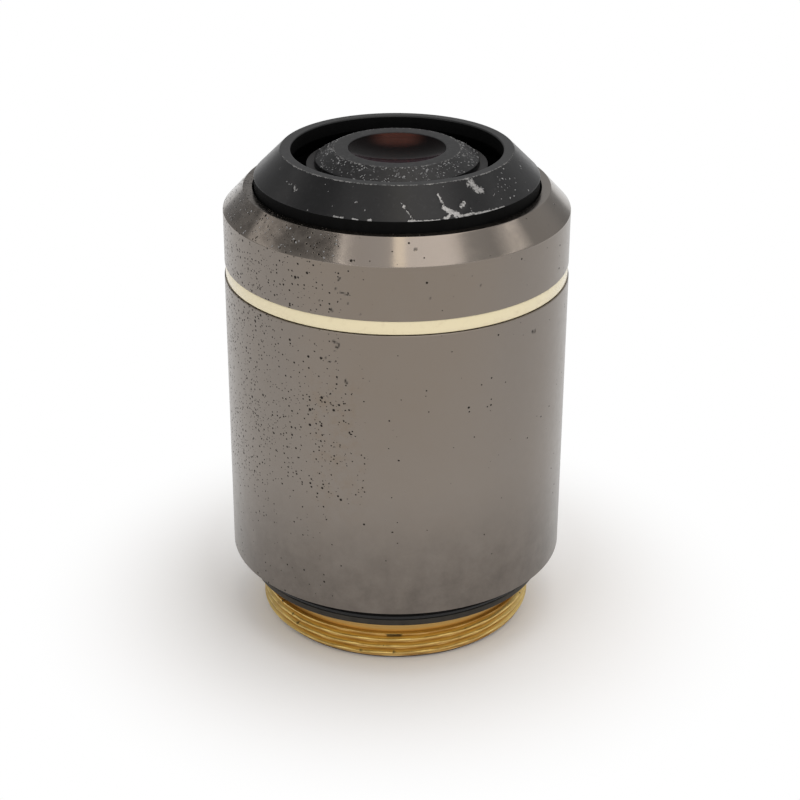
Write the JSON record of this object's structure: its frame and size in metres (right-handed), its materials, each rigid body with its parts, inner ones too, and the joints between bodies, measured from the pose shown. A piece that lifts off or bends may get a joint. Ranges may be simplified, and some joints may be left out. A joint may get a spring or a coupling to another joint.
{
  "type": "microscope objective",
  "caption": "Reflected-light microscope objective: threaded brass mount, gunmetal barrel with a colour band, black conical nose, and a lens stack hung on a spider inside a dark-field channel.",
  "frame": {"origin": "centre of the rear end face of the mounting thread, on the surface the objective stands on", "axes": "+Z along the optical axis, from the thread towards the nose; X and Y are free round the axis"},
  "size_m": [0.031, 0.031, 0.0451],
  "materials": {
    "thread_brass": "bare turned brass, slightly tarnished",
    "gunmetal": "satin gunmetal plating with fine turning marks, pitted on one side",
    "cream_enamel": "glossy cream enamel",
    "black_aluminium": "black anodised, chipped along the edges",
    "satin_black_brass": "satin blackened brass",
    "black_brass": "matt blackened brass",
    "front_glass": "polished optical glass with a purple coating",
    "crown_glass": "polished optical glass",
    "flint_glass": "polished optical glass",
    "screw_steel": "machined steel"
  },
  "bodies": {
    "root": {"thread_mount": "thread_brass", "main_sleeve": "gunmetal", "front_sleeve": "gunmetal", "colour_band": "cream_enamel", "body_tube": "black_aluminium", "nose_bezel": "black_aluminium", "parfocal_ring": "satin_black_brass", "nose_cell": "black_brass", "front_doublet_cell": "black_brass", "triplet_cell": "black_brass", "middle_doublet_cell": "black_brass", "meniscus_front_cell": "black_brass", "meniscus_rear_cell": "black_brass", "front_spacer": "black_brass", "second_lens_ring": "black_brass", "rear_stop": "black_brass", "rear_ring": "black_brass", "ring_lens_retainer": "black_brass", "tube_lock_ring": "black_brass", "lens_tube": "black_brass", "spider": "black_brass", "front_lens": "front_glass", "second_lens": "crown_glass", "ring_lens": "crown_glass", "front_doublet_crown": "crown_glass", "triplet_front_crown": "crown_glass", "triplet_rear_crown": "crown_glass", "middle_doublet_crown": "crown_glass", "meniscus_front_crown": "crown_glass", "meniscus_rear_crown": "crown_glass", "front_doublet_flint": "flint_glass", "triplet_flint": "flint_glass", "middle_doublet_flint": "flint_glass", "meniscus_front_flint": "flint_glass", "meniscus_rear_flint": "flint_glass", "centring_screws": "screw_steel"}
  },
  "joints": []
}
